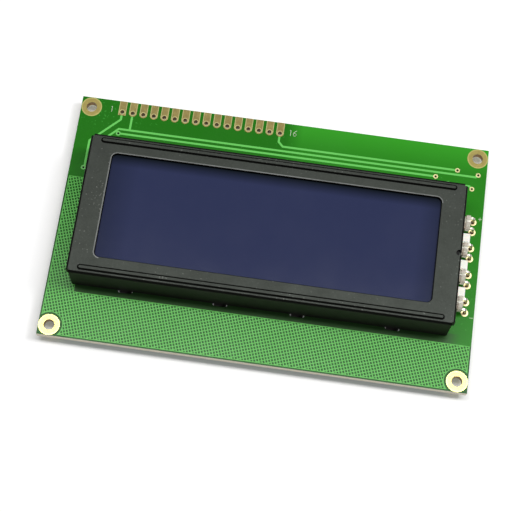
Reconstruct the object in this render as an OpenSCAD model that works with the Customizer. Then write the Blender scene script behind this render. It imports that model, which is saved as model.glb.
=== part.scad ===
// Character display module: a green circuit board carrying a black stamped bezel,
// a glass display cell, an edge-lit backlight and chips under epoxy on its back.
// The module lies on its back: z = 0 is the surface, under the ends of the twisted tabs.

/* [Board] */
// Width of the board, along X
board_w = 98; // [97:0.5:110]
// Depth of the board, along Y
board_h = 60; // [58:0.5:72]
// Thickness of the board
board_t = 1.6; // [1:0.1:2.4]
// Thickness of the copper with its plating
copper_t = 0.05; // [0.035:0.005:0.1]

/* [Mounting holes] */
// Diameter of a mounting hole
hole_d = 2.5; // [2:0.1:3]
// Distance of a mounting hole from both board edges
hole_inset = 2.5; // [2.5:0.1:3.5]
// Diameter of the bare ring around a mounting hole
ring_d = 4.9; // [4:0.1:5]

/* [Header row] */
// Number of header pads
pad_count = 16; // [14:1:16]
// Distance between header pads
pad_pitch = 2.54; // [2.2:0.01:2.6]
// Width of a header pad
pad_w = 1.8; // [1.5:0.1:2]
// Diameter of a header hole
pad_hole_d = 1; // [0.8:0.1:1.1]
// Distance of the first header hole from the left board edge
header_left = 9.95; // [8:0.05:12]
// Distance of the header holes from the rear board edge
header_inset = 2.8; // [2.4:0.1:3.4]

/* [Bezel] */
// Width of the bezel, along X
bezel_w = 87.7; // [86:0.1:89]
// Depth of the bezel, along Y
bezel_d = 34.3; // [33:0.1:36]
// Height of the bezel above the board
bezel_h = 8.6; // [8:0.1:11]
// Thickness of the bezel's sheet
sheet_t = 0.5; // [0.4:0.05:0.55]
// Outer radius of the bezel's folds
fold_r = 0.6; // [0.6:0.05:0.8]
// Length of the open notch at each folded corner
corner_notch = 0.7; // [0.6:0.05:1.2]
// Height of the bezel's short end walls
end_wall_h = 2.7; // [1.5:0.1:3.5]
// Width of the window
window_w = 76.2; // [70:0.1:78]
// Depth of the window
window_d = 25.3; // [20:0.1:26]
// Corner radius of the window
window_r = 1.2; // [0.5:0.1:3]
// Size of the bevel around the window
window_bevel = 0.15; // [0.05:0.05:0.25]
// Width of a raised rib at its foot
rib_w = 1.5; // [1.3:0.05:1.6]
// Width of a raised rib at its crest
rib_crest = 0.6; // [0.5:0.05:0.7]
// Height of a raised rib
rib_h = 0.35; // [0.2:0.05:0.5]
// Distance of a rib's middle from the bezel's long edge
rib_inset = 1.5; // [1.4:0.05:2]
// Distance of a rib's end from the bezel's short edge
rib_end = 2.4; // [2:0.1:6]
// Radius of the pilot notch in the right fold
pilot_r = 0.7; // [0.5:0.05:0.9]

/* [Bezel tabs] */
// Width of a tab
tab_w = 2.8; // [2:0.1:3.2]
// Length of a tab below the board
tab_drop = 1.9; // [1.7:0.1:3]
// Twist of a tab's end, in degrees
tab_twist = 35; // [15:1:60]
// Distance of the outer tabs from the middle
tab_outer_x = 30.8; // [26:0.1:34]
// Distance of the inner tabs from the middle
tab_inner_x = 8.9; // [5:0.1:14]
// Room at each end of a tab in its slot
slot_end_gap = 0.35; // [0.1:0.05:0.5]
// Room inside the wall in its slot
slot_inner_gap = 0.25; // [0.1:0.05:0.3]
// Room outside the wall in its slot
slot_outer_gap = 0.55; // [0.2:0.05:0.7]

/* [Display cell] */
// Thickness of each glass plate
glass_t = 1.1; // [0.7:0.05:1.2]
// Thickness of each polariser
polariser_t = 0.2; // [0.15:0.01:0.25]
// Thickness of the seal between the glass plates
seal_t = 0.05; // [0.02:0.01:0.1]
// Width of the seal
seal_w = 1; // [0.6:0.1:2]
// Room between the front glass and the bezel's walls
glass_gap = 0.35; // [0.2:0.05:0.6]
// Width of the front glass's contact ledge
ledge_w = 2.8; // [2.7:0.1:3.2]
// Width of a conductive rubber strip
zebra_w = 2; // [1.6:0.1:2.2]

/* [Backlight] */
// Width of the tray's wall
tray_wall = 1.2; // [0.8:0.1:1.6]
// Thickness of the tray's floor
tray_floor = 0.3; // [0.2:0.05:0.5]
// How far the tray's lip reaches past its wall
lip_reach = 3.45; // [3.4:0.05:3.6]
// Half the length of the lip
lip_half = 11.95; // [11.9:0.05:13]
// Height of the lip above the board
lip_h = 1.2; // [0.8:0.1:1.6]
// Thickness of the reflector film
film_t = 0.1; // [0.05:0.01:0.2]
// Thickness of the stack of diffuser sheets
diffuser_t = 0.6; // [0.3:0.05:0.7]
// Air above the diffuser
air_gap = 0.6; // [0.3:0.05:0.7]
// Radius of a lamp's body
lamp_r = 1.5; // [1.4:0.05:1.55]
// Radius of a lamp's flange
flange_r = 1.9; // [1.8:0.05:1.95]
// Thickness of a lamp's flange
flange_t = 1; // [0.6:0.1:1.2]
// Length of a lamp, from its flange to its tip
lamp_len = 5; // [4.6:0.1:5.2]
// Distance between lamps
lamp_pitch = 6.62; // [6.5:0.01:6.8]
// Distance between a lamp's leads
lead_pitch = 2.54; // [2.4:0.01:2.6]
// Thickness of a lead
lead_t = 0.5; // [0.4:0.05:0.55]
// Length of a lead before its bend's end
lead_run = 1; // [0.9:0.05:1.2]
// Radius of a lamp's solder ring
lamp_pad_r = 0.85; // [0.8:0.05:0.95]
// Diameter of a lamp's lead hole
lamp_hole_d = 0.9; // [0.85:0.05:1]

/* [Tracks and ground plane] */
// Width of a track on the front
track_w = 0.5; // [0.3:0.05:0.6]
// Distance between tracks on the front
track_pitch = 1.15; // [1:0.05:1.3]
// Distance of the first track from the middle of the header holes
track_gap = 3.35; // [3.1:0.05:3.5]
// Radius of a via's ring
via_r = 0.58; // [0.5:0.02:0.6]
// Diameter of a via's hole
via_hole_d = 0.55; // [0.3:0.05:0.6]
// Distance between openings of the ground plane
hatch_pitch = 1.4; // [1.3:0.05:2.4]
// Side of an opening of the ground plane
hatch_hole = 0.62; // [0.4:0.02:0.7]
// Turn of the ground plane's openings, in degrees
hatch_angle = 19; // [0:1:45]
// Solid border of the ground plane
hatch_border = 0.3; // [0.2:0.05:0.6]
// Radius kept clear around a mounting hole
hatch_clear_r = 3; // [2.8:0.05:3.4]
// Room between the bezel's front wall and the ground plane
hatch_gap = 1.8; // [1.4:0.05:3]
// Where the ground plane's left strip ends, in Y
hatch_top = 9.2; // [0:0.1:10]

/* [Chips on the back] */
// Radius of the controller's epoxy
controller_r = 8; // [7:0.1:8.5]
// Radius of a driver's epoxy
driver_r = 7; // [6:0.1:7.5]
// Height of the epoxy
blob_h = 1.3; // [0.8:0.1:1.5]
// Distance between the middles of the chips
chip_pitch = 24; // [23:0.5:25]
// Length of a chip resistor or capacitor
chip_l = 2; // [1.6:0.1:2.2]
// Width of a chip resistor or capacitor
chip_w = 1.25; // [0.8:0.05:1.4]
// Length of a chip's metal end
chip_end = 0.35; // [0.25:0.05:0.45]
// Height of a chip resistor
resistor_h = 0.5; // [0.4:0.05:0.7]
// Height of a chip capacitor
capacitor_h = 0.8; // [0.6:0.05:1]

/* [Hidden] */

green = [0.16, 0.5, 0.16];
maskedCopper = [0.45, 0.75, 0.42];
gold = [0.85, 0.7, 0.4];
blackSteel = [0.16, 0.17, 0.16];
whitePlastic = [0.93, 0.93, 0.9];
clearGlass = [0.75, 0.85, 0.85, 0.5];
navy = [0.15, 0.16, 0.3];
tin = [0.75, 0.75, 0.73];
blackEpoxy = [0.08, 0.08, 0.09];

fine = 48;
coarse = 24;
plate_t = 0.04;                 // plating inside a hole
slip = 0.01;                    // room around a plated barrel
over = 0.05;                    // how far a cut runs past a face

// Heights
back_z = tab_drop;              // back face of the board
board_z = back_z + board_t;     // front face of the board
face_z = board_z + bezel_h;     // front face of the bezel
glass_top_z = face_z - sheet_t - polariser_t;
front_glass_z = glass_top_z - glass_t;
rear_glass_top_z = front_glass_z - seal_t;
rear_glass_z = rear_glass_top_z - glass_t;
rear_polariser_z = rear_glass_z - polariser_t;
film_z = board_z + tray_floor;
guide_z = film_z + film_t;
diffuser_z = rear_polariser_z - air_gap - diffuser_t;
lamp_z = (guide_z + diffuser_z) / 2;

// Places in X and Y
left_x = -board_w / 2;
right_x = board_w / 2;
rear_y = board_h / 2;
front_y = -board_h / 2;
hole_x = right_x - hole_inset;
hole_y = rear_y - hole_inset;
wall_x = bezel_w / 2;
wall_y = bezel_d / 2;
header_y = rear_y - header_inset;
header_mid_x = left_x + header_left + (pad_count - 1) * pad_pitch / 2;
rib_y = wall_y - rib_inset;

glass_x = wall_x - sheet_t - glass_gap;
glass_y = wall_y - sheet_t - glass_gap;
rear_glass_y = glass_y - ledge_w;
polariser_margin = 2;           // polariser reach past the window
polariser_x = window_w / 2 + polariser_margin;
polariser_y = window_d / 2 + polariser_margin;
zebra_set_back = 0.1;           // strip's outer side inside the glass's edge
zebra_y = glass_y - zebra_w / 2 - zebra_set_back;
zebra_x = glass_x - 2;
zebra_pitch = 2;
seal_inset = 0.3;               // seal inside the rear glass's edge

tray_gap = 0.5;                 // between the tray and the bezel's end walls
tray_margin = 0.2;              // tray past the rear glass, front and rear
tray_x = wall_x - sheet_t - tray_gap;
tray_y = rear_glass_y + tray_margin;
well_x = tray_x - tray_wall;    // inside of the tray
well_y = tray_y - tray_wall;
guide_gap = 0.15;
rear_polariser_gap = 0.3;
guide_x = well_x - guide_gap;
guide_y = well_y - guide_gap;
rear_polariser_x = well_x - rear_polariser_gap;
rear_polariser_y = well_y - rear_polariser_gap;

strip_lap = 1.45;               // ground plane under the bezel's left side
strip_x = strip_lap - wall_x;   // right side of the ground plane's left strip
lip_x = tray_x + lip_reach;
flange_set_back = 0.55;
flange_x = lip_x - flange_set_back;     // outer face of a lamp's flange
lamp_clear = 0.05;
lamp_ys = [for (i = [-1.5:1:1.5]) i * lamp_pitch];
lead_x = flange_x + lead_run;   // where a lead goes down into the board
lead_tail = 1.1;
lead_ys = [for (y = lamp_ys, s = [-1, 1]) y + s * lead_pitch / 2];
joint_h = 0.7;

tab_xs = [-tab_outer_x, -tab_inner_x, tab_inner_x, tab_outer_x];
tab_y = wall_y - sheet_t / 2;

// Three long tracks run between the header and the bezel
high_track_y = header_y - track_gap;
mid_track_y = high_track_y - track_pitch;
low_track_y = mid_track_y - track_pitch;

// Vias seen on the front, by their distance from the right edge or the bezel
low_via_inset = 12;
mid_via_inset = 2;
high_via_inset = 7;
stub_via_gap = 1.95;
stub_via_drop = 2;
stub_end_inset = 3.8;
stub_end_drop = 1.35;
low_start_inset = 4.8;
side_via_gap = 1.85;
side_via_rise = 2.5;
mid_start_inset = 1.2;
mid_start_drop = 2.4;
low_via = [right_x - low_via_inset, low_track_y];
mid_via = [right_x - mid_via_inset, mid_track_y + track_pitch / 2];
high_via = [right_x - high_via_inset, high_track_y];
stub_via = [wall_x + stub_via_gap, low_track_y - stub_via_drop];
stub_end = [wall_x - stub_end_inset, low_track_y - stub_end_drop];
low_start = [low_start_inset - wall_x, low_track_y];
side_via = [-wall_x - side_via_gap, hatch_top + side_via_rise];
mid_start = [mid_start_inset - wall_x, low_track_y - mid_start_drop];
via_points = [low_via, mid_via, high_via, stub_via, stub_end, low_start, side_via, mid_start];

// Chips on the back, from the controller to the drivers
chip_y = 1;
controller_x = header_mid_x;
driver_1_x = controller_x + chip_pitch;
driver_2_x = driver_1_x + chip_pitch;
bus_pitch = 0.9;                // spacing of tracks beside a chip
header_bus_pitch = 1;           // spacing of the header's tracks between the tab slots
fan_pitch = 1.5;                // spacing where they reach the contact rows
fan_count = 10;
contact_y = zebra_y - 0.6;      // row where the fans end
contact_d = 0.7;                // round land at the end of a fan's track
back_track_w = 0.3;
chip_reach = chip_l / 2 + 0.1;  // from a chip's middle to its land's middle
land_l = 1.1;                   // length of a chip's land
land_w = chip_w + 0.3;

// Small parts on the back: a ladder beside the controller, a supply filter, the lamps' resistors
row_y = -wall_y - 3.9;
row_spread = [1, 3.4, 5.8, 8.2];        // the ladder's places along the controller's fan
row_xs = [for (k = row_spread) fan_x(controller_x, k)];
ladder_y = row_y - 3;
filter_x = row_xs[3] + 4.5;
supply_y = low_track_y + 0.45;
supply_xs = [22, 26];
limit_x = 41;
limit_ys = [row_y + 1.5, row_y - 1.9];
limit_top = [limit_x - 0.4, wall_y + 0.5];
resistor_points = concat([for (x = row_xs) [x, row_y]], [for (y = limit_ys) [limit_x, y]], [limit_top]);
capacitor_points = concat([[filter_x, ladder_y]], [for (x = supply_xs) [x, supply_y]]);

function fan_x(x, k) = x + (k - (fan_count - 1) / 2) * fan_pitch;
function header_x(i) = left_x + header_left + i * pad_pitch;
function unit(v) = v / norm(v);
function side(a, b) = let (d = unit(b - a)) [-d[1], d[0]];

// Half-width step across a path at point i, mitred where the path turns
function step(p, i, w) =
    let (last = len(p) - 1,
         before = side(p[max(i - 1, 0)], p[max(i, 1)]),
         after = i == last ? before : side(p[i], p[i + 1]),
         m = unit(before + after))
    m * (w / 2) / (m * before);

module trace(p, w) {
    last = len(p) - 1;
    polygon(concat([for (i = [0:last]) p[i] + step(p, i, w)],
                   [for (i = [last:-1:0]) p[i] - step(p, i, w)]));
}

module slab(x, y, t, z) {
    translate([-x, -y, z]) cube([2 * x, 2 * y, t]);
}

// A hole's plating with a ring on each face of the board
module plated_hole(hole_r, rim_r) {
    rotate_extrude($fn = fine) polygon([
        [hole_r, back_z - copper_t], [rim_r, back_z - copper_t], [rim_r, back_z],
        [hole_r + plate_t, back_z], [hole_r + plate_t, board_z], [rim_r, board_z],
        [rim_r, board_z + copper_t], [hole_r, board_z + copper_t]
    ]);
}

module board_hole(p, d) {
    translate([p[0], p[1], back_z - over])
        cylinder(h = board_t + 2 * over, d = d + 2 * (plate_t + slip), $fn = fine);
}

module tab_slot() {
    slot_w = sheet_t + slot_inner_gap + slot_outer_gap;
    straight = tab_w + 2 * slot_end_gap - slot_w;
    translate([0, (slot_outer_gap - slot_inner_gap) / 2, back_z - over])
        linear_extrude(board_t + 2 * over) {
            square([straight, slot_w], center = true);
            for (s = [-1, 1]) translate([s * straight / 2, 0]) circle(d = slot_w, $fn = coarse);
        }
}

module circuit_board() {
    color(green) difference() {
        slab(board_w / 2, board_h / 2, board_t, back_z);
        for (sx = [-1, 1], sy = [-1, 1]) board_hole([sx * hole_x, sy * hole_y], hole_d);
        for (i = [0:pad_count - 1]) board_hole([header_x(i), header_y], pad_hole_d);
        for (y = lead_ys) board_hole([lead_x, y], lamp_hole_d);
        for (p = via_points) board_hole(p, via_hole_d);
        for (x = tab_xs, s = [0, 1]) mirror([0, s, 0]) translate([x, tab_y, 0]) tab_slot();
    }
}

module mounting_pads() {
    color(gold) for (sx = [-1, 1], sy = [-1, 1]) intersection() {
        translate([sx * hole_x, sy * hole_y, 0]) plated_hole(hole_d / 2, ring_d / 2);
        slab(board_w / 2, board_h / 2, board_t + 2, back_z - 1);
    }
}

// Finger pad from the hole to the board's edge, square at its foot on the first one
module finger(square_foot) {
    circle(d = pad_w, $fn = fine);
    translate([-pad_w / 2, 0]) square([pad_w, header_inset]);
    if (square_foot) translate([-pad_w / 2, -pad_w / 2]) square([pad_w, pad_w]);
}

module header_pads() {
    color(gold) for (i = [0:pad_count - 1]) translate([header_x(i), header_y, 0]) difference() {
        union() {
            translate([0, 0, board_z]) linear_extrude(copper_t) finger(i == 0);
            translate([0, 0, back_z - copper_t]) linear_extrude(copper_t) finger(i == 0);
            translate([0, 0, back_z - copper_t / 2])
                cylinder(h = board_t + copper_t, d = pad_hole_d + 2 * plate_t, $fn = fine);
        }
        translate([0, 0, back_z - 1]) cylinder(h = board_t + 2, d = pad_hole_d, $fn = fine);
    }
}

module lamp_pads() {
    color(gold) for (y = lead_ys) translate([lead_x, y, 0]) plated_hole(lamp_hole_d / 2, lamp_pad_r);
}

module vias() {
    color(gold) for (p = via_points) translate([p[0], p[1], 0]) plated_hole(via_hole_d / 2, via_r);
}

// Cuts that keep tracks off the pads and vias
module pad_cuts(z) {
    translate([0, 0, z - over]) {
        for (i = [0:pad_count - 1]) translate([header_x(i), header_y])
            cylinder(h = copper_t + 2 * over, r = pad_w / 2 + slip, $fn = fine);
        for (p = via_points) translate(p)
            cylinder(h = copper_t + 2 * over, r = via_r + slip, $fn = fine);
    }
}

module front_tracks() {
    first = header_x(0);
    second = header_x(1);
    last = header_x(pad_count - 1);
    foot_y = header_y - pad_w / 2 - slip;
    turn_y = foot_y - 1.1;
    inner_y = header_y - pad_w / 4;         // where tracks begin inside a pad's round
    diagonal = 1.1;                         // length of the last track's slanted step
    run_x = side_via[0] + 0.2;
    color(maskedCopper) difference() {
        translate([0, 0, board_z]) linear_extrude(copper_t) {
            trace([[first, foot_y], [first, turn_y], [run_x, turn_y - first + run_x], [run_x, side_via[1]]],
                  track_w);
            trace([[second, inner_y], [second, mid_track_y]], track_w);
            trace([mid_start, [mid_start[0] + mid_track_y - mid_start[1], mid_track_y],
                   [mid_via[0] - track_pitch / 2, mid_track_y], mid_via], track_w);
            trace([low_start, low_via], track_w);
            trace([[last, inner_y], [last, high_track_y + diagonal],
                   [last + diagonal, high_track_y], high_via], track_w);
            trace([stub_via, [stub_via[0] + stub_via[1] - stub_end[1], stub_end[1]], stub_end], track_w);
        }
        pad_cuts(board_z);
    }
}

function in_box(p, x0, x1, y0, y1) = p[0] > x0 && p[0] < x1 && p[1] > y0 && p[1] < y1;

// Copper ground plane with a lattice of small square openings, clear of the lower mounting holes
module ground_hatch() {
    edge = 0.35;                // bare board at the edges
    x0 = left_x + edge;
    x1 = right_x - edge;
    y0 = front_y + edge;
    strip_y = -wall_y - hatch_gap;
    reach = hatch_hole * 0.71 + hatch_border;
    count = ceil(norm([board_w, board_h]) / 2 / hatch_pitch);
    lattice = [for (i = [-count:count], j = [-count:count])
        hatch_pitch * [i * cos(hatch_angle) - j * sin(hatch_angle),
                       i * sin(hatch_angle) + j * cos(hatch_angle)]];
    openings = [for (p = lattice)
        if ((in_box(p, x0 + reach, x1 - reach, y0 + reach, strip_y - reach)
             || in_box(p, x0 + reach, strip_x - reach, y0 + reach, hatch_top - reach))
            && norm([abs(p[0]) - hole_x, p[1] + hole_y]) > hatch_clear_r + reach) p];
    color(maskedCopper) difference() {
        translate([0, 0, board_z]) linear_extrude(copper_t)
            polygon([[x0, y0], [x1, y0], [x1, strip_y],
                     [strip_x, strip_y], [strip_x, hatch_top], [x0, hatch_top]]);
        for (s = [0, 1]) mirror([s, 0, 0]) translate([hole_x, -hole_y, board_z - over]) {
            cylinder(h = copper_t + 2 * over, r = hatch_clear_r, $fn = fine);
            translate([0, -hole_inset, 0]) cube([hole_inset, hole_inset, copper_t + 2 * over]);
        }
        for (p = openings) translate([p[0], p[1], board_z]) rotate(hatch_angle)
            cube([hatch_hole, hatch_hole, 4 * over], center = true);
    }
}

module zebra_contacts() {
    count = floor(zebra_x / zebra_pitch);
    color(gold) for (s = [-1, 1], i = [-count:count])
        translate([i * zebra_pitch, s * zebra_y, board_z + copper_t / 2])
            cube([zebra_pitch / 2, zebra_w - 0.4, copper_t], center = true);
}

// Section of the folded sheet: a flat top of width w with a leg down each side
module folded_section(w, leg) {
    inner_r = fold_r - sheet_t;
    difference() {
        union() {
            translate([-w / 2, face_z - leg]) square([w, leg - fold_r]);
            translate([-w / 2 + fold_r, face_z - leg]) square([w - 2 * fold_r, leg]);
            for (s = [-1, 1]) translate([s * (w / 2 - fold_r), face_z - fold_r]) circle(fold_r, $fn = fine);
        }
        union() {
            translate([-w / 2 + sheet_t, face_z - leg - over]) square([w - 2 * sheet_t, leg + over - fold_r]);
            translate([-w / 2 + fold_r, face_z - leg - over]) square([w - 2 * fold_r, leg + over - sheet_t]);
            for (s = [-1, 1]) translate([s * (w / 2 - fold_r), face_z - fold_r]) circle(inner_r, $fn = fine);
        }
    }
}

// Long bar with round ends, w0 wide at its foot and w1 wide at its top
module tapered_bar(length, w0, w1, h) {
    straight = length - max(w0, w1);
    rotate([90, 0, 90]) linear_extrude(straight, center = true)
        polygon([[-w0 / 2, 0], [w0 / 2, 0], [w1 / 2, h], [-w1 / 2, h]]);
    for (s = [-1, 1]) translate([s * straight / 2, 0, 0])
        cylinder(h = h, r1 = w0 / 2, r2 = w1 / 2, $fn = fine);
}

// Rounded block whose sides lean out by grow over its height
module tapered_window(w, d, r, h, grow) {
    rotate([90, 0, 90]) linear_extrude(w - 2 * r, center = true)
        polygon([[-d / 2, 0], [d / 2, 0], [d / 2 + grow, h], [-d / 2 - grow, h]]);
    rotate([90, 0, 0]) linear_extrude(d - 2 * r, center = true)
        polygon([[-w / 2, 0], [w / 2, 0], [w / 2 + grow, h], [-w / 2 - grow, h]]);
    for (sx = [-1, 1], sy = [-1, 1]) translate([sx * (w / 2 - r), sy * (d / 2 - r), 0])
        cylinder(h = h, r1 = r, r2 = r + grow, $fn = fine);
}

module bezel_tab() {
    neck_end = back_z - 0.25;
    translate([-tab_w / 2, -sheet_t / 2, neck_end]) cube([tab_w, sheet_t, board_z - neck_end + 0.5]);
    rotate(tab_twist) translate([-tab_w / 2, -sheet_t / 2, 0]) cube([tab_w, sheet_t, back_z - 0.1]);
}

module bezel() {
    rib_len = bezel_w - 2 * rib_end;
    rib_wall = 0.65 * sheet_t;  // the ribs' sides are drawn thinner
    color(blackSteel) difference() {
        union() {
            rotate([90, 0, 90]) linear_extrude(bezel_w - 2 * corner_notch, center = true)
                folded_section(bezel_d, bezel_h - copper_t);
            rotate([90, 0, 0]) linear_extrude(bezel_d - 2 * corner_notch, center = true)
                folded_section(bezel_w, end_wall_h);
            for (s = [-1, 1]) translate([0, s * rib_y, face_z - over])
                tapered_bar(rib_len, rib_w, rib_crest, rib_h + over);
            for (x = tab_xs, s = [0, 1]) mirror([0, s, 0]) translate([x, tab_y, 0]) bezel_tab();
        }
        translate([0, 0, face_z - sheet_t - over])
            tapered_window(window_w, window_d, window_r, sheet_t + 2 * over, 0);
        translate([0, 0, face_z - window_bevel])
            tapered_window(window_w, window_d, window_r, window_bevel + over, window_bevel + over);
        for (s = [-1, 1]) translate([0, s * rib_y, face_z - sheet_t - over])
            tapered_bar(rib_len - 2 * rib_wall, rib_w - 2 * rib_wall, rib_crest / 2, rib_h + over);
        translate([wall_x - fold_r, 0, face_z - 1.5 * pilot_r])
            cylinder(h = 2 * pilot_r, r = pilot_r, $fn = fine);
    }
}

module front_polariser() {
    color(navy) slab(polariser_x, polariser_y, polariser_t, glass_top_z);
}

module front_glass() {
    color(clearGlass) slab(glass_x, glass_y, glass_t, front_glass_z);
}

module cell_seal() {
    outer_x = glass_x - seal_inset;
    outer_y = rear_glass_y - seal_inset;
    color("gray") difference() {
        slab(outer_x, outer_y, seal_t, rear_glass_top_z);
        slab(outer_x - seal_w, outer_y - seal_w, seal_t + 2 * over, rear_glass_top_z - over);
    }
}

module rear_glass() {
    color(clearGlass) slab(glass_x, rear_glass_y, glass_t, rear_glass_z);
}

module rear_polariser() {
    color(navy) slab(rear_polariser_x, rear_polariser_y, polariser_t, rear_polariser_z);
}

module zebra_strip() {
    h = front_glass_z - board_z - copper_t;
    color("dimgray") translate([-zebra_x, zebra_y - zebra_w / 2, board_z + copper_t])
        cube([2 * zebra_x, zebra_w, h]);
}

module upper_zebra_strip() { zebra_strip(); }
module lower_zebra_strip() { mirror([0, 1, 0]) zebra_strip(); }

module lamp_row(r, x0, x1) {
    for (y = lamp_ys) translate([x0, y, lamp_z]) rotate([0, 90, 0]) cylinder(h = x1 - x0, r = r, $fn = fine);
}

// White tray with a lip past the bezel's end, notched for the lamps
module backlight_tray() {
    notch_w = 2 * flange_r + 0.5;
    color(whitePlastic) difference() {
        union() {
            slab(tray_x, tray_y, rear_glass_z - board_z, board_z);
            translate([tray_x - over, -lip_half, board_z]) cube([lip_reach + over, 2 * lip_half, lip_h]);
        }
        slab(well_x, well_y, bezel_h, film_z);
        translate([-wall_x, -wall_y, board_z - over])
            cube([strip_x + slip + wall_x, 2 * wall_y, over + copper_t + slip]);
        lamp_row(lamp_r + lamp_clear, well_x - over, lip_x + over);
        for (y = lamp_ys) translate([flange_x - flange_t - 0.2, y - notch_w / 2, board_z - over])
            cube([lip_reach, notch_w, bezel_h]);
    }
}

module reflector_film() {
    color("white") slab(guide_x, guide_y, film_t, film_z);
}

module light_guide() {
    pocket_r = lamp_r + 0.1;
    pocket_x = flange_x - lamp_len - 0.1;
    color([0.9, 0.95, 1, 0.5]) difference() {
        slab(guide_x, guide_y, diffuser_z - guide_z, guide_z);
        lamp_row(pocket_r, pocket_x, guide_x + over);
    }
}

module diffuser_stack() {
    color("white") slab(guide_x, guide_y, diffuser_t, diffuser_z);
}

// Clear lamp lying on its side, flange outwards and round tip in the light guide
module lamp(i) {
    tip_x = flange_x - lamp_len + lamp_r;
    color([0.9, 0.9, 0.85, 0.6]) translate([0, lamp_ys[i], lamp_z]) {
        translate([tip_x, 0, 0]) sphere(lamp_r, $fn = fine);
        translate([tip_x, 0, 0]) rotate([0, 90, 0]) cylinder(h = flange_x - tip_x, r = lamp_r, $fn = fine);
        translate([flange_x - flange_t, 0, 0]) rotate([0, 90, 0])
            cylinder(h = flange_t, r = flange_r, $fn = fine);
    }
}

module lamp_1() { lamp(0); }
module lamp_2() { lamp(1); }
module lamp_3() { lamp(2); }
module lamp_4() { lamp(3); }

// One square lead: out of the flange, round a bend and down through the board
module lead() {
    bend = 0.35;                // bend radius at the inside
    mid = bend + lead_t / 2;
    translate([0, -lead_t / 2, 0]) {
        translate([flange_x, 0, lamp_z - lead_t / 2]) cube([lead_run - mid, lead_t, lead_t]);
        translate([lead_x - lead_t / 2, 0, back_z - lead_tail])
            cube([lead_t, lead_t, lamp_z - mid - back_z + lead_tail]);
        translate([lead_x - mid, lead_t, lamp_z - mid]) rotate([90, 0, 0])
            rotate_extrude(angle = 90, $fn = fine) translate([bend, 0]) square([lead_t, lead_t]);
    }
}

module lamp_leads(i) {
    color(tin) for (s = [-1, 1]) translate([0, lamp_ys[i] + s * lead_pitch / 2, 0]) lead();
}

module lamp_leads_1() { lamp_leads(0); }
module lamp_leads_2() { lamp_leads(1); }
module lamp_leads_3() { lamp_leads(2); }
module lamp_leads_4() { lamp_leads(3); }

module solder_joints() {
    top = back_z - copper_t;
    color(tin) for (y = lead_ys) difference() {
        translate([lead_x, y, top - joint_h])
            cylinder(h = joint_h, r1 = lead_t * 0.8, r2 = lamp_pad_r - 0.1, $fn = fine);
        translate([lead_x - lead_t / 2, y - lead_t / 2, top - joint_h - over])
            cube([lead_t, lead_t, joint_h + 2 * over]);
    }
}

// Low dome of epoxy on the back face
module blob(x, r) {
    sphere_r = (r * r + blob_h * blob_h) / (2 * blob_h);
    color(blackEpoxy) translate([x, chip_y, back_z]) intersection() {
        translate([0, 0, sphere_r - blob_h]) sphere(sphere_r, $fn = 240);
        translate([-r - 1, -r - 1, -blob_h - 1]) cube([2 * r + 2, 2 * r + 2, blob_h + 1]);
    }
}

module controller_blob() { blob(controller_x, controller_r); }
module driver_blob_1() { blob(driver_1_x, driver_r); }
module driver_blob_2() { blob(driver_2_x, driver_r); }

module chip_bodies(points, h) {
    for (p = points) translate([p[0] - chip_l / 2 + chip_end, p[1] - chip_w / 2, back_z - copper_t - h])
        cube([chip_l - 2 * chip_end, chip_w, h]);
}

module chip_resistors() { color(blackEpoxy) chip_bodies(resistor_points, resistor_h); }
module chip_capacitors() { color("tan") chip_bodies(capacitor_points, capacitor_h); }

module end_caps(points, h) {
    for (p = points, s = [-1, 1])
        translate([p[0] + s * (chip_l - chip_end) / 2, p[1], back_z - copper_t - h / 2])
            cube([chip_end, chip_w, h], center = true);
}

module chip_ends() {
    color(tin) {
        end_caps(resistor_points, resistor_h);
        end_caps(capacitor_points, capacitor_h);
    }
}

// Tracks from a driver's edge out to a contact row, each ending in a small round land
module fan(x, s) {
    for (k = [0:fan_count - 1]) {
        near = x + (k - (fan_count - 1) / 2) * bus_pitch;
        far = fan_x(x, k);
        bend_y = contact_y - 1;             // where the slanted stretch ends
        trace([[near, chip_y], [near, s * (bend_y - abs(far - near))],
               [far, s * bend_y], [far, s * contact_y]], back_track_w);
        translate([far, s * contact_y]) circle(d = contact_d, $fn = coarse);
    }
}

// Tracks from the header to the controller, between two tab slots
module header_fan() {
    foot_y = header_y - pad_w / 2;
    for (i = [0:pad_count - 1]) {
        near = controller_x + (i - (pad_count - 1) / 2) * header_bus_pitch;
        trace([[header_x(i), foot_y + 0.5], [header_x(i), foot_y - 0.6],
               [near, wall_y + 1.4], [near, chip_y]], back_track_w);
    }
}

// Two supply lines along the lamps' pads, with their series resistors
module lamp_supply() {
    bus_x = lead_x - 2.6;
    return_x = lead_x + 1.35;
    bus_slant = 1.1;            // width of each line's slanted foot
    return_slant = 3;
    reach = lead_pitch / 2;
    for (y = lamp_ys) {
        trace([[lead_x, y + reach], [bus_x, y + reach]], track_w);
        trace([[lead_x, y - reach], [return_x, y - reach]], track_w);
    }
    trace([high_via, [bus_x, high_via[1] - bus_x + high_via[0]], [bus_x, limit_ys[0] + bus_slant],
           [bus_x - bus_slant, limit_ys[0]], [limit_x + chip_reach, limit_ys[0]]], track_w);
    trace([mid_via, [return_x, mid_via[1] - return_x + mid_via[0]], [return_x, limit_ys[1] + return_slant],
           [return_x - return_slant, limit_ys[1]], [limit_x + chip_reach, limit_ys[1]]], track_w);
    trace([[limit_x - chip_reach, limit_ys[0]], [limit_x - chip_reach, limit_ys[1]]], track_w);
    trace([stub_end, [stub_end[0], limit_top[1] + 1], limit_top - [chip_reach, 0]], track_w);
    trace([limit_top + [chip_reach, 0], [bus_x, limit_top[1]]], track_w);
}

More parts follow.
